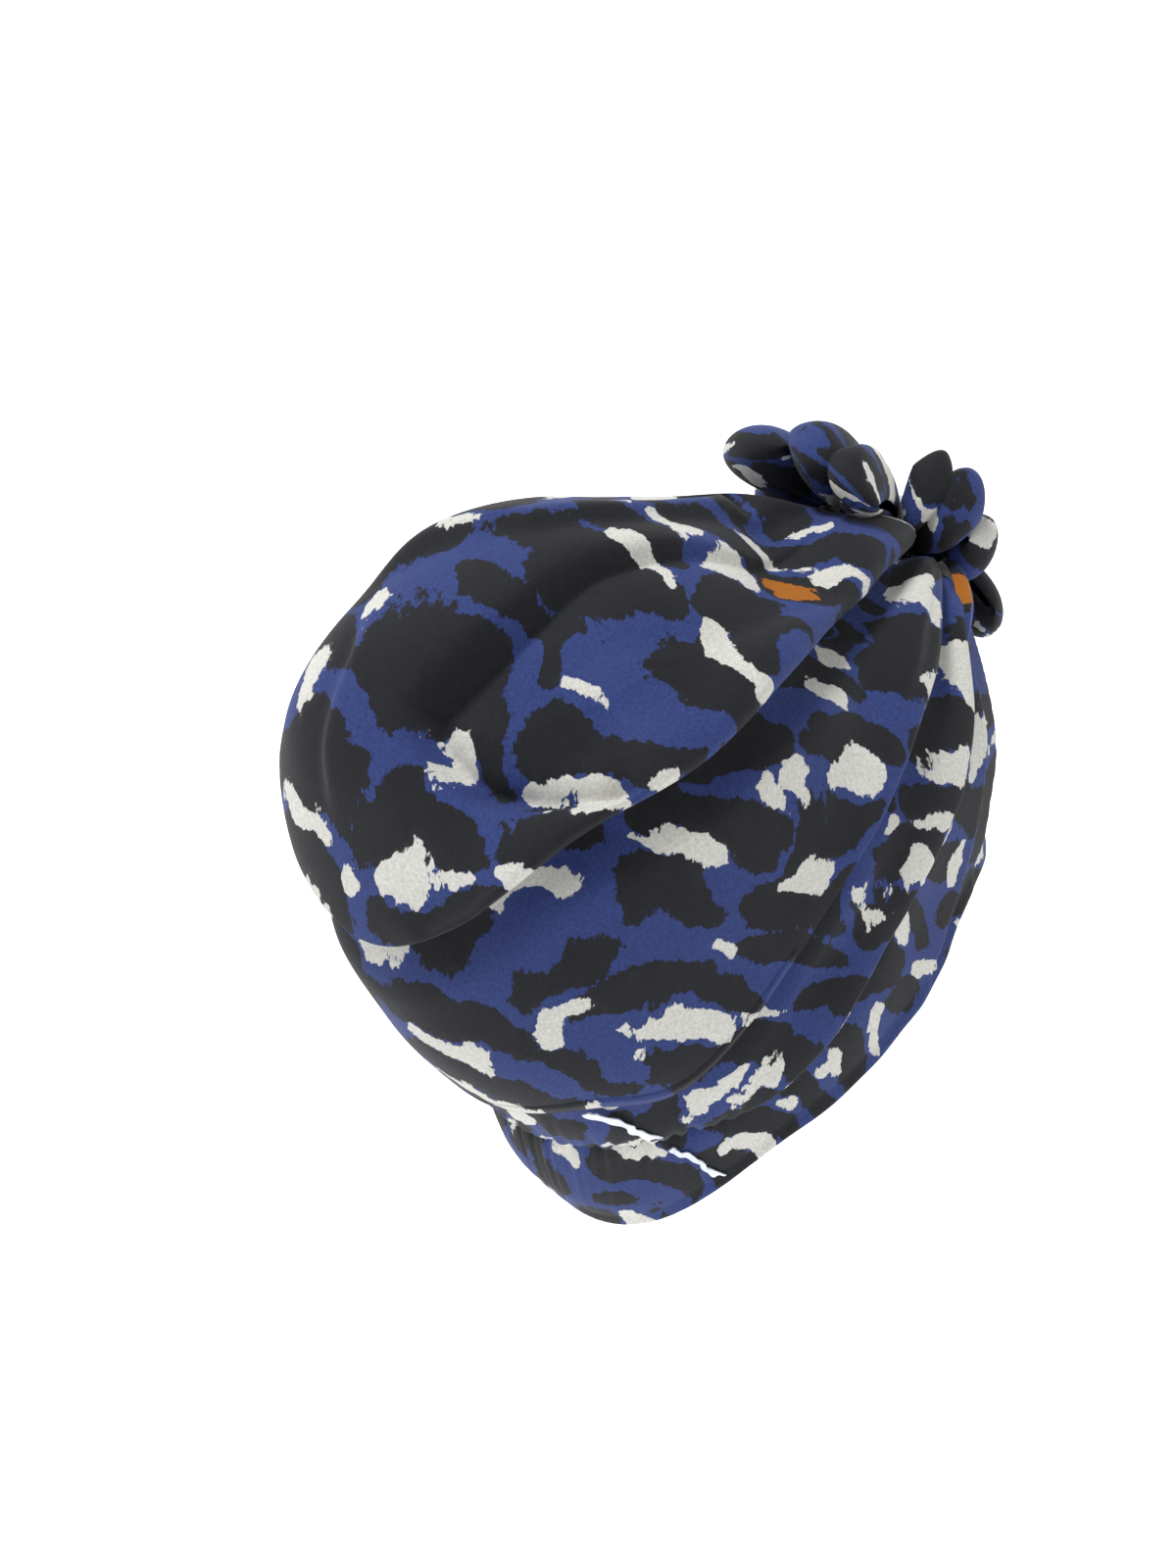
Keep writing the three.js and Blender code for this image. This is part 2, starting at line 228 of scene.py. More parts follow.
# The faint unevenness of all the cloth: waves over the head, the way they run and their size.
UNEVENNESS = [
    (13, (0.7, 0.4, 0.6), 0.30),
    (19, (-0.5, 0.8, 0.3), 0.22),
    (29, (0.2, -0.5, 0.85), 0.14),
]


def relief(piece, turn, lift):
    """The creases of one panel and the faint unevenness of all of them."""
    here = direction(turn, lift)
    from_knot = np.arccos(np.clip(here @ direction(KNOT_TURN, KNOT_LIFT), -1, 1)) * HEAD_REACH
    total = -KNOT_DIMPLE * np.exp(-(from_knot / KNOT_DIMPLE_REACH) ** 2)
    for crease in CREASES[piece]:
        total += crease_height(here, **crease)
    for waves, axis, size in UNEVENNESS:
        total += size * np.sin(waves * here @ np.array(axis) + waves)
    return total


NAPE_GATHERS = [(0.6, 1.13, 0.0), (0.45, 0.71, 1.0), (0.3, 0.37, 2.0)]     # size, waves a mm, start
NAPE_FROM, NAPE_TO = 112, 132   # the ways between which the gathers come in
ELASTIC_DRAW, ELASTIC_REACH = 2.2, 5.0
GATHER_SIZE, GATHER_REACH = 1.1, 13.0


def nape_gathers(turn, lift, way):
    """Small ripples that the elastic draws in along the gathered line across the nape."""
    from_line = (lift - edge("brow", way)) * math.radians(HEAD_REACH)
    around = turn * HEAD_ROUND / 360
    ripple = sum(size * np.sin(around * waves + start) for size, waves, start in NAPE_GATHERS)
    drawn = -ELASTIC_DRAW * np.exp(-(from_line / ELASTIC_REACH) ** 2)
    gathered = ripple * GATHER_SIZE * np.exp(-np.abs(from_line) / GATHER_REACH)
    return smooth(way, NAPE_FROM, NAPE_TO) * (gathered + drawn)


# ---- the print ---------------------------------------------------------------------------------
# One repeat of the cloth, in millimetres: each marking is a chain of round dabs (across, up, radius).
# PRINT_SCALE shrinks the whole repeat, so that four of them go round the head.
REPEAT = np.array([190.0, 156.0])
PRINT_SCALE = 0.75
DARK_MARKS = [
    [(8, 30, 9), (14, 44, 12), (30, 52, 13), (48, 50, 12), (58, 38, 9), (54, 26, 6)],
    [(34, 22, 8), (46, 10, 11), (62, 8, 10)],
    [(78, 24, 10), (92, 16, 13), (110, 18, 13), (124, 28, 10)],
    [(84, 48, 11), (100, 46, 13), (114, 52, 10)],
    [(146, 14, 12), (160, 22, 14), (176, 14, 10)],
    [(140, 48, 12), (156, 54, 14), (172, 50, 11), (180, 60, 8)],
    [(12, 82, 12), (28, 86, 14), (44, 80, 11)],
    [(66, 76, 11), (80, 82, 13), (96, 78, 11)],
    [(118, 84, 12), (132, 90, 14), (148, 86, 13), (160, 96, 9)],
    [(4, 118, 11), (18, 126, 13), (34, 124, 12), (44, 114, 9)],
    [(62, 110, 12), (74, 122, 13), (92, 124, 12), (104, 112, 10)],
    [(128, 120, 11), (142, 128, 13), (158, 130, 12)],
    [(178, 96, 9), (184, 106, 9)],
    [(174, 146, 8), (186, 140, 8)],
    [(88, 146, 8), (104, 150, 9), (116, 142, 7)],
    [(30, 152, 8), (44, 146, 8)],
]
PALE_MARKS = [
    [(27, 35, 7), (38, 37, 8), (45, 31, 5), (42, 25, 3)],
    [(98, 32, 6), (108, 36, 7), (116, 33, 4)],
    [(64, 20, 3), (58, 14, 4), (50, 16, 3)],
    [(150, 34, 6), (160, 38, 6), (170, 34, 4), (176, 36, 2.5)],
    [(132, 62, 4), (138, 66, 5), (134, 72, 3)],
    [(24, 68, 5), (34, 68, 6), (42, 66, 4)],
    [(56, 62, 4), (60, 58, 3), (62, 52, 2)],
    [(84, 66, 6), (92, 66, 4), (98, 64, 3)],
    [(112, 70, 5), (120, 70, 6), (118, 64, 3)],
    [(146, 104, 7), (152, 110, 6), (162, 110, 3)],
    [(22, 108, 6), (30, 106, 7), (24, 100, 4)],
    [(78, 106, 6), (86, 110, 7), (84, 100, 4)],
    [(120, 106, 4), (128, 106, 5), (134, 110, 3)],
    [(170, 128, 5), (178, 124, 5), (182, 118, 3)],
    [(54, 132, 5), (56, 140, 5), (62, 134, 3)],
    [(8, 8, 5), (16, 10, 6), (22, 6, 3)],
    [(188, 74, 4), (192, 80, 5), (190, 86, 3)],
    [(124, 142, 4), (132, 146, 4)],
]
OCHRE_MARKS = [[(140, 84, 6), (148, 88, 7), (152, 80, 4)]]
OCHRE_REPEAT = REPEAT * 2       # only one repeat in four has this marking


def marking_gap(spots, marks, repeat):
    """How far each spot of cloth is outside the nearest marking, and less than 0 inside one."""
    gap = np.full(len(spots), 1e9)
    for chain in marks:
        for (x0, y0, r0), (x1, y1, r1) in zip(chain, chain[1:]):
            run = np.array([x1 - x0, y1 - y0])
            middle = np.array([x0 + x1, y0 + y1]) / 2
            away = spots - middle
            away -= repeat * np.round(away / repeat)
            share = np.clip(away @ run / (run @ run) + 0.5, 0, 1)
            apart = np.linalg.norm(away - (share - 0.5)[:, None] * run, axis=1)
            gap = np.minimum(gap, apart - (r0 + (r1 - r0) * share))
    return gap


# Waves that push the print about, across and then up: size, waves round the head, waves up, start.
STIRS = [
    [(6.5, 3, 7, 0.6), (3.2, 11, -6, 2.0), (1.6, 23, 15, 0.0)],
    [(6.0, 5, -4, 1.4), (3.0, 8, 12, 0.3), (1.6, 19, -22, 0.0)],
]


def stirred(spots):
    """Print places pushed about a little, so that no two repeats look alike."""
    x, y = spots.T * (2 * math.pi / HEAD_ROUND)
    return spots + np.stack([sum(size * np.sin(round_waves * x + up_waves * y + start)
                                 for size, round_waves, up_waves, start in waves)
                             for waves in STIRS], axis=-1)


PLEAT_DEPTH, BROW_SEAM, BROW_DEPTH = 26, 8, 16   # cloth hidden in the upper and the lower pleat
BAND_DRIFT = (40, 100)          # where the bands lie in the print
CROWN_DRIFT = (65, 25)
CROWN_MIDDLE = (172.0, 58.0)    # the turn and lift where the crown lies flat in the print
CROWN_SPREAD = 128


def band_print(piece, turn, lift, way):
    """Cloth that runs round the head. What a pleat hides is missing from the print beside it."""
    upper = PLEAT_DEPTH * (1 - smooth(way, 62, 112))
    lower = BROW_SEAM + BROW_DEPTH * (1 - smooth(way, 90, 125))
    hidden = {"side_wrap": 0, "pleat_band": upper, "brow_band": upper + lower}[piece]
    up = np.radians(lift) * HEAD_REACH
    return np.stack([turn * HEAD_ROUND / 360 + BAND_DRIFT[0], up + hidden + BAND_DRIFT[1]], axis=-1)


def crown_print(turn, lift):
    """Cloth that is laid over the top of the head in one piece."""
    here = direction(turn, lift)
    middle = direction(*CROWN_MIDDLE)
    across = np.cross([0, 0, 1], middle)
    across /= np.linalg.norm(across)
    up = np.cross(middle, across)
    spread = CROWN_SPREAD * np.sqrt(2 / (1.02 + here @ middle))
    return np.stack([spread * (here @ across) + CROWN_DRIFT[0], spread * (here @ up) + CROWN_DRIFT[1]],
                    axis=-1)


# ---- laying cloth ------------------------------------------------------------------------------
def lay_cloth(name, columns, rows, place, wall=CLOTH_WALL, ring=False):
    """A grid of cloth moved to its place. place takes how far across the grid a corner is and its
    row, and gives its place, a place on its inner side, and where it is in the print."""
    build = bmesh.new()
    bmesh.ops.create_grid(build, x_segments=columns, y_segments=rows, size=0.5)
    mesh = bpy.data.meshes.new(name)
    build.to_mesh(mesh)
    build.free()
    corners = np.empty(len(mesh.vertices) * 3)
    mesh.vertices.foreach_get("co", corners)
    corners = corners.reshape(-1, 3) + 0.5
    spots, inner, cloth = place(corners[:, 0], np.round(corners[:, 1] * rows))
    mesh.vertices.foreach_set("co", (spots * MM).ravel())
    cloth = stirred(cloth) / PRINT_SCALE
    for label, marks, repeat in (("dark", DARK_MARKS, REPEAT), ("pale", PALE_MARKS, REPEAT),
                                 ("ochre", OCHRE_MARKS, OCHRE_REPEAT)):
        values = mesh.attributes.new(label, "FLOAT", "POINT")
        values.data.foreach_set("value", marking_gap(cloth, marks, repeat) * PRINT_SCALE)
    mesh.update()
    centres, normals = np.empty(len(mesh.polygons) * 3), np.empty(len(mesh.polygons) * 3)
    mesh.polygons.foreach_get("center", centres)
    mesh.polygons.foreach_get("normal", normals)
    insides = inner[np.array([polygon.vertices[0] for polygon in mesh.polygons])]
    outward = ((centres.reshape(-1, 3) / MM - insides) * normals.reshape(-1, 3)).sum()
    build = bmesh.new()
    build.from_mesh(mesh)
    if outward < 0:
        bmesh.ops.reverse_faces(build, faces=build.faces)
    if ring:
        bmesh.ops.remove_doubles(build, verts=build.verts, dist=0.002 * MM)
    for face in build.faces:
        face.smooth = True
    build.to_mesh(mesh)
    build.free()
    piece = bpy.data.objects.new(name, mesh)
    bpy.context.collection.objects.link(piece)
    shell = piece.modifiers.new("wall", "SOLIDIFY")
    shell.thickness = wall * MM
    shell.offset = -1
    return piece


# Each panel's folded edges and its grid.
PANELS = {
    "brow_band": dict(low="hem", high="brow", columns=420, rows=108),
    "pleat_band": dict(low="brow", high="pleat", columns=420, rows=100),
    "side_wrap": dict(low="pleat", high="wrap", columns=420, rows=100),
    "crown": dict(low="wrap", high=None, columns=380, rows=124),
}
# How each panel is folded, how it is held and what it lies on.
FOLD_ROWS = 8                   # rows that make the turned-under part and the round of a fold
TURNED_UNDER = 5.0
HEM_RISE, HEM_EASE = 1.6, 6.0   # how high the hem's fold stands, and how soon it settles
SUNK = {"brow_band": 0.7, "side_wrap": 5.5, "pleat_band": 3.0}     # how far a panel dips under the next
TUCK = 9.0                      # how far a panel runs on under the next one
LIFT_OFF = 0.4                  # how far the cloth stands off the form


def panel_gap(low, high, way, reach):
    """How wide the part of a panel that shows is."""
    return np.radians((edge(high, way) if high else 90) - edge(low, way)) * reach


def fold_standing(rise, settled, gap):
    """How high a folded edge stands, and how it settles on what is under it."""
    return rise * (1 - smooth(settled, 0, np.clip(0.85 * gap, 3, 30)))


def folded_panel(name, low, high, columns, rows):
    """A panel from one folded edge to the next, its lower edge turned under."""
    def place(across, row):
        side = np.where(across <= 0.5, 1.0, -1.0)
        way = np.where(across <= 0.5, across, 1 - across) * 360
        turn = turn_at(way, side)
        low_lift = edge(low, way)
        reach = form_reach(turn, low_lift)
        gap = panel_gap(low, high, way, reach)
        rise = HEM_RISE if low == "hem" else edge(low + "_rise", way)
        radius = np.maximum(0.3, (rise - 0.5) / 2)
        angle = np.radians(-90 + 30 * (row - 2))
        full = gap + (TUCK if high else 0)
        top_share = (row - FOLD_ROWS) / (rows - FOLD_ROWS)
        inward = np.where(row < 2, radius + TURNED_UNDER * (1 - row * 0.55),
                          np.where(row <= FOLD_ROWS, radius - radius * np.cos(angle),
                                   radius + top_share * (full - radius)))
        height = np.where(row < 2, -2 * radius,
                          np.where(row <= FOLD_ROWS, -radius + radius * np.sin(angle), 0))
        lift = low_lift + np.degrees(inward / reach)
        if not high:
            lift = np.where(row > FOLD_ROWS, low_lift + np.degrees(radius / reach) + top_share
                            * (90 - low_lift - np.degrees(radius / reach)), lift)
        settled = np.maximum((lift - low_lift) * np.radians(reach) - radius, 0)
        standing = fold_standing(rise, settled, gap)
        if low == "hem":
            standing = rise * (1 - smooth(settled, 0, HEM_EASE))
        sunk = -SUNK[name] * smooth(settled - gap, -18, 3) if high else 0
        outward = LIFT_OFF + standing + height + sunk + relief(name, turn, lift)
        if name in ("brow_band", "pleat_band"):
            outward = outward + nape_gathers(turn, lift, way)
        cloth = crown_print(turn, lift) if not high else band_print(name, turn, lift, way)
        spots = form_point(turn, lift, outward)
        return spots, np.broadcast_to(CENTRE, spots.shape), cloth
    return lay_cloth(name + "_cloth", columns, rows, place, ring=True)


# ---- the rosette -------------------------------------------------------------------------------
KNOT_SEAT = form_point(np.array(KNOT_TURN), np.array(KNOT_LIFT), np.array(3.6 - KNOT_DIMPLE))
FAN_LEFT = np.array([1.0, 0, 0])
FAN_UP = np.cross(KNOT_AXIS, FAN_LEFT)
LOOP_ROOT = 7.0
LOOP_NECK = 0.38
ROOT_HEIGHT = 7.0
LOOP_BLUNTNESS = 0.62
RIDGE_SIZE, GATHER_RISE = 0.27, 1.8
LOOP_SWEEP_OF_CUT = 0.75        # how wide the cut is for the arc at the loop's tip
# sweep goes round the knot's axis, 0 towards the wearer's left and 90 towards the back. drift is
# where the loop lies in the print.
LOOPS = {
    "rosette_left": dict(sweep=(3, 46), reach=53, tip=7, puff=25, ridges=1, tilt=3, drift=(20, 64)),
    "rosette_back_left": dict(sweep=(47, 84), reach=69, tip=4, puff=27, ridges=1, tilt=-3, drift=(120, 14)),
    "rosette_back": dict(sweep=(85, 121), reach=70, tip=-2, puff=32, ridges=2, tilt=-18, drift=(66, 110)),
    "rosette_right": dict(sweep=(122, 172), reach=38, tip=15, puff=40, ridges=2, tilt=-4, drift=(150, 90)),
    "rosette_right_front": dict(sweep=(173, 209), reach=36, tip=7, puff=34, ridges=1, tilt=3,
                                drift=(10, 20)),
    "rosette_front_right": dict(sweep=(210, 250), reach=47, tip=-8, puff=25, ridges=1, tilt=2,
                                drift=(90, 40)),
    "rosette_front": dict(sweep=(251, 307), reach=39, tip=4, puff=26, ridges=2, tilt=0, drift=(40, 100)),
    "rosette_front_left": dict(sweep=(308, 361), reach=47, tip=0, puff=28, ridges=2, tilt=-3,
                               drift=(170, 30)),
}


def knot_point(sweep, out, height):
    sweep = np.radians(sweep)[..., None]
    out, height = out[..., None], height[..., None]
    return KNOT_SEAT + FAN_LEFT * np.cos(sweep) * out + FAN_UP * np.sin(sweep) * out + KNOT_AXIS * height


def rosette_loop(name, sweep, reach, tip, puff, ridges, tilt, drift):
    """Cloth that runs out from the knot, turns over at its tip and comes back, gathered at the knot."""
    columns, rows = 170, 96

    def place(along, row):
        across = row / rows
        middle = np.sin(np.pi * along)
        crest = 1 - (2 * across - 1) ** 2
        bent = across + 0.07 * np.sin(5 * across + drift[0]) * crest
        ridge = np.abs(np.sin(np.pi * ridges * bent)) ** 0.75
        gather = np.abs(np.sin(np.pi * (2 * ridges + 1) * bent))
        pinched = 0.5 + 0.5 * np.clip(crest, 0, 1) ** 0.5
        out = (LOOP_ROOT + (reach * (0.92 + 0.05 * crest + 0.05 * ridge) - LOOP_ROOT)
               * middle ** LOOP_BLUNTNESS)
        girth = (puff / 2 * (LOOP_NECK + (1 - LOOP_NECK) * middle) * pinched
                 + RIDGE_SIZE * puff * (ridge - 0.55) * middle ** 0.6
                 + GATHER_RISE * (gather - 0.5) * (1 - middle) ** 1.5)
        rise = ROOT_HEIGHT + (tip - ROOT_HEIGHT) * middle
        height = rise + tilt * (across - 0.5) * middle - girth * np.cos(np.pi * along)
        angle = sweep[0] + (sweep[1] - sweep[0]) * across
        spots = knot_point(angle, out, height)
        inner = knot_point(angle, LOOP_ROOT + (reach - LOOP_ROOT) * 0.45 + 0 * out, rise)
        length = (along - 0.5) * 2.3 * reach
        wide = math.radians(sweep[1] - sweep[0]) * reach * LOOP_SWEEP_OF_CUT
        cloth = np.stack([length + drift[0], across * wide + drift[1]], axis=-1)
        return spots, inner, cloth
    return lay_cloth(name + "_cloth", columns, rows, place)


KNOT_RADIUS = 9.4
KNOT_FOOT, KNOT_SHOULDER, KNOT_DOME = 0.5, 15.0, 4.5


def knot_wrap():
    """The knot that the loops spring from, wound round with a band in soft twisted pleats."""
    rows, shoulder = 60, 0.68

    def place(around, row):
        angle = around * 360
        over = row / rows
        wall = np.clip(over / shoulder, 0, 1)
        cap = np.pi / 2 * np.clip((over - shoulder) / (1 - shoulder), 0, 1)
        twist = np.abs(np.sin(np.radians(angle) * 2.5 + 2.4 * over))
        radius = np.maximum(KNOT_RADIUS * np.cos(cap) + 1.4 * np.sin(np.pi * wall) + 1.3 * (twist - 0.5)
                            * np.cos(cap), 0.05)
        height = KNOT_FOOT + (KNOT_SHOULDER - KNOT_FOOT) * wall + KNOT_DOME * np.sin(cap)
        spots = knot_point(angle, radius, height)
        inner = knot_point(angle, 0 * angle, height - 2)
        return spots, inner, np.stack([around * 66 + 150, over * 34 + 20], axis=-1)
    return lay_cloth("knot_wrap_cloth", 120, rows, place, ring=True)


STRAP_WAYS = (14.0, 47.0)
STRAP_WIDE = 9.0
STRAP_ROWS = 24


def knot_strap():
    """The narrow strip of knot cloth that runs over the gathers along the brow fold."""
    def place(along, row):
        across = row / STRAP_ROWS
        way = STRAP_WAYS[0] + (STRAP_WAYS[1] - STRAP_WAYS[0]) * along
        turn = turn_at(way, 1)
        arch = 1 - (2 * across - 1) ** 2
        narrow = 1 - 0.45 * smooth(along, 0.5, 1.0)
        sideways = np.degrees(STRAP_WIDE * narrow / HEAD_REACH) * (across - 0.5)
        lift = edge("brow", way) + sideways
        pleat = 0.45 * np.sin(9 * across + 3 * along)
        outward = 4.4 + 3.4 * arch * narrow + pleat - 2.0 * smooth(along, 0.75, 1.0)
        spots = form_point(turn, lift, outward)
        cloth = np.stack([along * 52 + 84, across * 9 + 60], axis=-1)
        return spots, np.broadcast_to(CENTRE, spots.shape), cloth
    return lay_cloth("knot_strap_cloth", 96, STRAP_ROWS, place)


# ---- the white selvedge ------------------------------------------------------------------------
SELVEDGES = {
    "selvedge_casing": dict(panel="pleat_band", low="brow", high="pleat", top=(150, -25), foot=(139, -35)),
    "selvedge_hem": dict(panel="brow_band", low="hem", high="brow", top=(134, -41.5), foot=(121, -49)),
}


SELVEDGE_WIDE = 2.9             # in degrees of way
SELVEDGE_ROWS = 8


def selvedge(name, panel, low, high, top, foot):
    """A short length of white cloth edge that lies on its panel."""
    def place(along, row):
        across = row / SELVEDGE_ROWS
        way = top[0] + (foot[0] - top[0]) * along
        lift = top[1] + (foot[1] - top[1]) * along
        wide = SELVEDGE_WIDE * (0.75 + 0.25 * np.sin(7 * along + 0.5) + 0.35 * smooth(along, 0.6, 1.0))
        wander = 0.5 * np.sin(9 * along + 1.0) + 0.3 * np.sin(21 * along)
        turn = turn_at(way + wander + wide * (across - 0.5), 1)
        reach = form_reach(turn, lift)
        settled = np.maximum(np.radians(lift - edge(low, way)) * reach, 0)
        rise = 0 if low == "hem" else edge(low + "_rise", way)
        standing = fold_standing(rise, settled, panel_gap(low, high, way, reach))
        outward = 1.2 + standing + relief(panel, turn, lift) + nape_gathers(turn, lift, way)
        spots = form_point(turn, lift, outward + 0.3 * np.sin(8 * across))
        return spots, np.broadcast_to(CENTRE, spots.shape), np.stack([along * 20, across * 4], axis=-1)
    return lay_cloth(name + "_strip", 48, SELVEDGE_ROWS, place, wall=0.5)


# ---- shader sums -------------------------------------------------------------------------------
class Amount:
    """A shader value that can be used in sums."""

    def __init__(self, finish, socket):
        self.finish, self.socket = finish, socket

    def sum(self, operation, other, flip=False):
        pair = (other, self) if flip else (self, other)
        return self.finish.add("ShaderNodeMath", {"operation": operation}, {0: pair[0], 1: pair[1]})

    def __add__(self, other): return self.sum("ADD", other)
    def __radd__(self, other): return self.sum("ADD", other, True)
    def __sub__(self, other): return self.sum("SUBTRACT", other)
    def __rsub__(self, other): return self.sum("SUBTRACT", other, True)
    def __mul__(self, other): return self.sum("MULTIPLY", other)
    def __rmul__(self, other): return self.sum("MULTIPLY", other, True)
    def __truediv__(self, other): return self.sum("DIVIDE", other)

    def clamped(self):
        return self.finish.add("ShaderNodeClamp", {}, {"Value": self})


class Finish:
    """One material, with its nodes added one at a time."""

    def __init__(self, name, **constants):
        self.material = bpy.data.materials.new(name)
        self.material.use_nodes = True
        self.tree = self.material.node_tree
        self.shader = self.tree.nodes["Principled BSDF"]
        for socket, value in constants.items():
            self.shader.inputs[socket.replace("_", " ")].default_value = value

    def add(self, kind, settings, values, output=0):
        node = self.tree.nodes.new(kind)
        for setting, value in settings.items():
            setattr(node, setting, value)
        for key, value in values.items():
            self.feed(node.inputs[key], value)
        return Amount(self, node.outputs[output])

    def feed(self, socket, value):
        if isinstance(value, Amount):
            self.tree.links.new(value.socket, socket)
        else:
            socket.default_value = value

    def mix(self, share, a, b):
        return self.add("ShaderNodeMix", {"data_type": "RGBA"}, {0: share, 6: a, 7: b}, output=2)

    def noise(self, place, scale, detail=2.0, roughness=0.5):
        return self.add("ShaderNodeTexNoise", {}, {
            "Vector": place, "Scale": scale, "Detail": detail, "Roughness": roughness})

    def attribute(self, name):
        return self.add("ShaderNodeAttribute", {"attribute_name": name}, {}, output="Fac")


def shade(red, green, blue):
    """A colour as a dyer's card would name it, in the renderer's own scale."""
    return (*(((v / 255 + 0.055) / 1.055) ** 2.4 for v in (red, green, blue)), 1.0)


COBALT, COBALT_LIGHT = shade(33, 46, 94), shade(47, 63, 118)
CHARCOAL, CHARCOAL_SOFT = shade(17, 18, 22), shade(35, 37, 43)
OFF_WHITE, OFF_WHITE_DEEP = shade(206, 205, 198), shade(176, 176, 172)
OCHRE = shade(150, 88, 16)


def crepe_bump(finish, place, strength):
    pebble = finish.noise(place, 1150.0, 2.0, 0.6)
    slub = finish.noise(place, 420.0, 2.0, 0.5)
    finish.feed(finish.shader.inputs["Normal"], finish.add(
        "ShaderNodeBump", {}, {"Strength": strength, "Distance": 0.0004, "Height": pebble + slub * 0.5}))
    return pebble


MARK_EDGE = 0.35                # how many millimetres the edge of a marking takes to come in
HALO_REACH = 3.5


def printed_crepe():
    finish = Finish("printed_crepe", Sheen_Weight=0.04, Sheen_Roughness=0.5, Specular_IOR_Level=0.22)
    place = finish.add("ShaderNodeTexCoord", {}, {}, output="Object")
    tall = finish.add("ShaderNodeMapping", {}, {"Vector": place, "Scale": (1.0, 1.0, 0.42)})
    pebble = crepe_bump(finish, place, 0.4)
    teeth = (finish.noise(tall, 360.0, 4.0, 0.7) - 0.5) * 8.0
    wander = (finish.noise(place, 70.0, 3.0, 0.6) - 0.5) * 13.0
    dark_gap = finish.attribute("dark") + teeth + wander + 0.6
    pale_gap = finish.attribute("pale") + teeth * 0.8 + (finish.noise(place, 95.0, 3.0, 0.6) - 0.5) * 12.0
    ochre_gap = finish.attribute("ochre") + teeth * 0.8 + wander * 0.6
    dark, pale, ochre = ((0.5 - gap / MARK_EDGE).clamped() for gap in (dark_gap, pale_gap, ochre_gap))
    patches = (finish.noise(place, 45.0, 1.0, 0.5) * 3.0 - 1.2).clamped()
    halo = (1.0 - pale_gap / HALO_REACH).clamped() * patches
    grain = (pebble * 2.2 - 0.6).clamped()
    cloth = finish.mix(grain, COBALT, COBALT_LIGHT)
    ink = finish.mix(grain * 0.5 + halo * 0.7, CHARCOAL, CHARCOAL_SOFT)
    bare = finish.mix(grain, OFF_WHITE_DEEP, OFF_WHITE)
    colour = finish.mix(dark, cloth, ink)
    colour = finish.mix(ochre, colour, OCHRE)
    finish.feed(finish.shader.inputs["Base Color"], finish.mix(pale, colour, bare))
    finish.feed(finish.shader.inputs["Roughness"], 0.7 + 0.16 * pebble)
    return finish.material


def white_selvedge():
    finish = Finish("white_selvedge", Roughness=0.8, Sheen_Weight=0.1)
    place = finish.add("ShaderNodeTexCoord", {}, {}, output="Object")
    pebble = crepe_bump(finish, place, 0.3)
    finish.feed(finish.shader.inputs["Base Color"],
                finish.mix(pebble, shade(214, 222, 236), shade(238, 242, 250)))
    return finish.material


# ---- the studio --------------------------------------------------------------------------------
FLOOR_LEVEL = cad_box[0][2] - 0.15
ROOM_FLAT, ROOM_CURVE, ROOM_HIGH = 2.6, 0.8, 3.2
AHEAD = (0.743, -0.669, 0.0)    # the way the camera looks over the floor
VIEW = (228.0, 15.85, 2.92)     # the camera's azimuth, elevation and roll
VIEW_CENTRE, VIEW_DISTANCE = (0.0395, 0.0257, 0.0429), 0.450
LENS, SENSOR = 29.25, 36.0


def pale_room():
    """A round floor that curves up into a pale wall on every side."""
    build = bmesh.new()
    sweep = [(0.0, 0.0), (ROOM_FLAT, 0.0)]
    sweep += [(ROOM_FLAT + ROOM_CURVE * math.sin(a), ROOM_CURVE - ROOM_CURVE * math.cos(a))
              for a in np.radians(range(10, 91, 10))]
    sweep.append((ROOM_FLAT + ROOM_CURVE, ROOM_HIGH))
    rim = [build.verts.new((x, 0, z + FLOOR_LEVEL)) for x, z in sweep]
    edges = [build.edges.new(pair) for pair in zip(rim, rim[1:])]
    bmesh.ops.spin(build, geom=rim + edges, cent=(0, 0, 0), axis=(0, 0, 1), angle=math.tau, steps=72,
                   use_merge=True)
    bmesh.ops.remove_doubles(build, verts=build.verts, dist=0.0001)
    for face in build.faces:
        face.smooth = True
        if face.normal.z < -0.01 or face.normal.dot(face.calc_center_median().xy.to_3d()) > 0.01:
            face.normal_flip()
    mesh = bpy.data.meshes.new("pale_room")
    build.to_mesh(mesh)
    build.free()
    room = bpy.data.objects.new("pale_room", mesh)
    bpy.context.collection.objects.link(room)
    paint = Finish("pale_paint", Roughness=0.9, Base_Color=(0.9, 0.9, 0.9, 1.0), Emission_Strength=0.6)
    place = paint.add("ShaderNodeTexCoord", {}, {}, output="Object")
    ahead = paint.add("ShaderNodeVectorMath", {"operation": "DOT_PRODUCT"},
                      {0: place, 1: AHEAD}, output="Value")
    paint.feed(paint.shader.inputs["Emission Color"],
               paint.mix((ahead * 2.0 + 1.7).clamped(), (0.0, 0.0, 0.0, 1.0), (1.0, 1.0, 1.0, 1.0)))
    room.data.materials.append(paint.material)


def soft_light(name, place, towards, size, power):
    lamp = bpy.data.lights.new(name, "AREA")
    lamp.shape = "DISK"
    lamp.size = size
    lamp.energy = power
    holder = bpy.data.objects.new(name, lamp)
    holder.location = place
    holder.rotation_euler = (Vector(towards) - Vector(place)).to_track_quat("-Z", "Y").to_euler()
    bpy.context.collection.objects.link(holder)


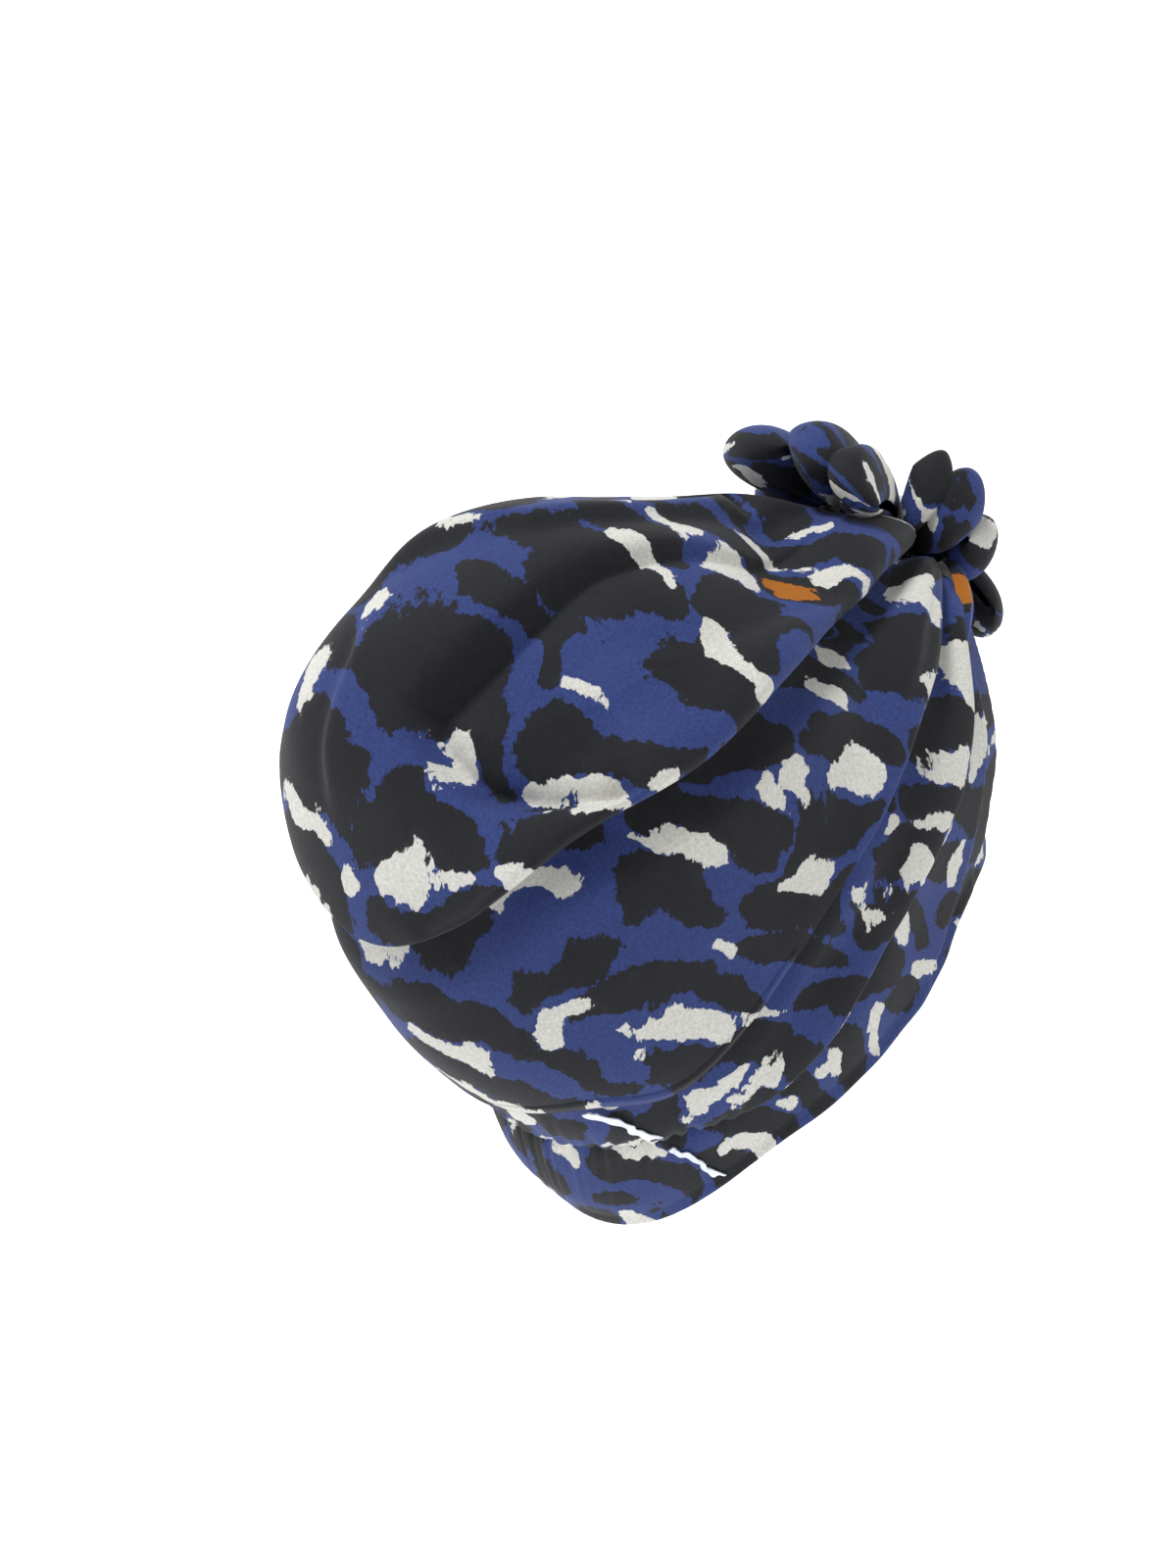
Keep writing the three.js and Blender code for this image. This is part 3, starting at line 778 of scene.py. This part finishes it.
def studio_camera():
    azimuth, elevation, roll = (math.radians(a) for a in VIEW)
    back = Vector((math.sin(azimuth) * math.cos(elevation), -math.cos(azimuth) * math.cos(elevation),
                   math.sin(elevation)))
    level = Vector((math.cos(azimuth), math.sin(azimuth), 0))
    up = back.cross(level)
    right = level * math.cos(roll) + up * math.sin(roll)
    up = up * math.cos(roll) - level * math.sin(roll)
    camera = bpy.data.objects.new("camera", bpy.data.cameras.new("camera"))
    camera.data.lens = LENS
    camera.data.sensor_width = SENSOR
    camera.data.clip_start = 0.01
    turned = Matrix((right, up, back)).transposed().to_4x4()
    camera.matrix_world = Matrix.Translation(Vector(VIEW_CENTRE) + back * VIEW_DISTANCE) @ turned
    bpy.context.collection.objects.link(camera)
    bpy.context.scene.camera = camera


def studio():
    pale_room()
    studio_camera()
    soft_light("key", (0.28, 0.83, 1.9), (0, 0, 0.05), 0.6, 38)
    soft_light("fill", (-1.5, -0.2, 0.9), (0, 0, 0.05), 1.2, 3)
    soft_light("front", (0.5, -1.5, 1.2), (0, 0, 0.05), 1.0, 5)
    world = bpy.data.worlds.new("studio")
    world.use_nodes = True
    world.node_tree.nodes["Background"].inputs["Color"].default_value = (1, 1, 1, 1)
    world.node_tree.nodes["Background"].inputs["Strength"].default_value = 0.22
    bpy.context.scene.world = world
    bpy.context.scene.view_settings.view_transform = "Standard"


# ---- the whole turban --------------------------------------------------------------------------
def finish_piece(piece, node, material):
    piece.data.materials.append(material)
    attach(piece, "root")
    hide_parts(node)
    return piece


def turban():
    crepe, bare_edge = printed_crepe(), white_selvedge()
    strips = {name: finish_piece(selvedge(name, **row), name, bare_edge)
              for name, row in SELVEDGES.items()}
    for name, row in PANELS.items():
        piece = finish_piece(folded_panel(name, **row), name, crepe)
    for name, row in LOOPS.items():
        piece = finish_piece(rosette_loop(name, **row), name, crepe)
    wrap = finish_piece(knot_wrap(), "knot_wrap", crepe)
    strap = finish_piece(knot_strap(), "knot_strap", crepe)


turban()
studio()
